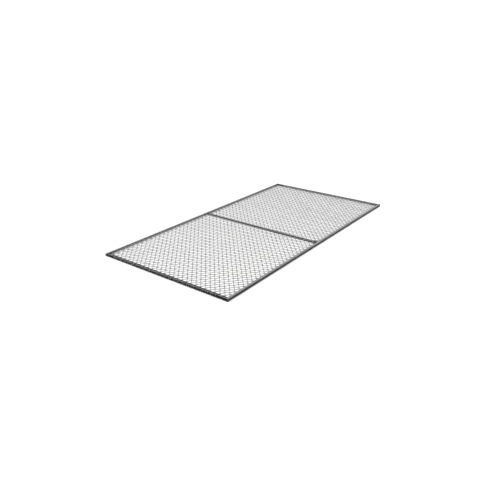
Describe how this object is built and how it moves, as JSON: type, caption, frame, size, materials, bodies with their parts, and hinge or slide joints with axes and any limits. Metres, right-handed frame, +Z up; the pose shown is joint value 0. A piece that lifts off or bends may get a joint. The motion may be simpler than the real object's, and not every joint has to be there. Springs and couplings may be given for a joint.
{
  "type": "queen excluder",
  "caption": "Flat rectangular queen excluder: diamond wire mesh held in a slim folded steel frame, with a flat bar across the middle.",
  "frame": {"origin": "middle of the panel's underside, in the plane that it rests on", "axes": "+X along the long side, +Y along the short side and along the crossbar, +Z up through the panel, from the crossbar's side to the open side of the mesh"},
  "size_m": [0.3764, 0.19, 0.0038],
  "materials": {
    "rail_steel": "dark mill finish, dull, with light wear on the folds",
    "crossbar_steel": "dark blued strip, dull",
    "mesh_wire": "drawn and galvanised, light grey",
    "strip_steel": "plain rolled strip",
    "key_steel": "stamped, oiled dark",
    "rivet_steel": "zinc plated, dull"
  },
  "bodies": {
    "root": {"side_rail_front": "rail_steel", "side_rail_back": "rail_steel", "end_rail_left": "rail_steel", "end_rail_right": "rail_steel", "crossbar": "crossbar_steel", "mesh_wires_rising": "mesh_wire", "mesh_wires_falling": "mesh_wire", "retaining_strip_end_left": "strip_steel", "retaining_strip_end_right": "strip_steel", "retaining_strip_front_left": "strip_steel", "retaining_strip_front_right": "strip_steel", "retaining_strip_back_left": "strip_steel", "retaining_strip_back_right": "strip_steel", "corner_key_front_left": "key_steel", "corner_key_front_right": "key_steel", "corner_key_back_left": "key_steel", "corner_key_back_right": "key_steel", "corner_rivets_front_left": "rivet_steel", "corner_rivets_front_right": "rivet_steel", "corner_rivets_back_left": "rivet_steel", "corner_rivets_back_right": "rivet_steel", "crossbar_end_rivets": "rivet_steel"}
  },
  "joints": []
}
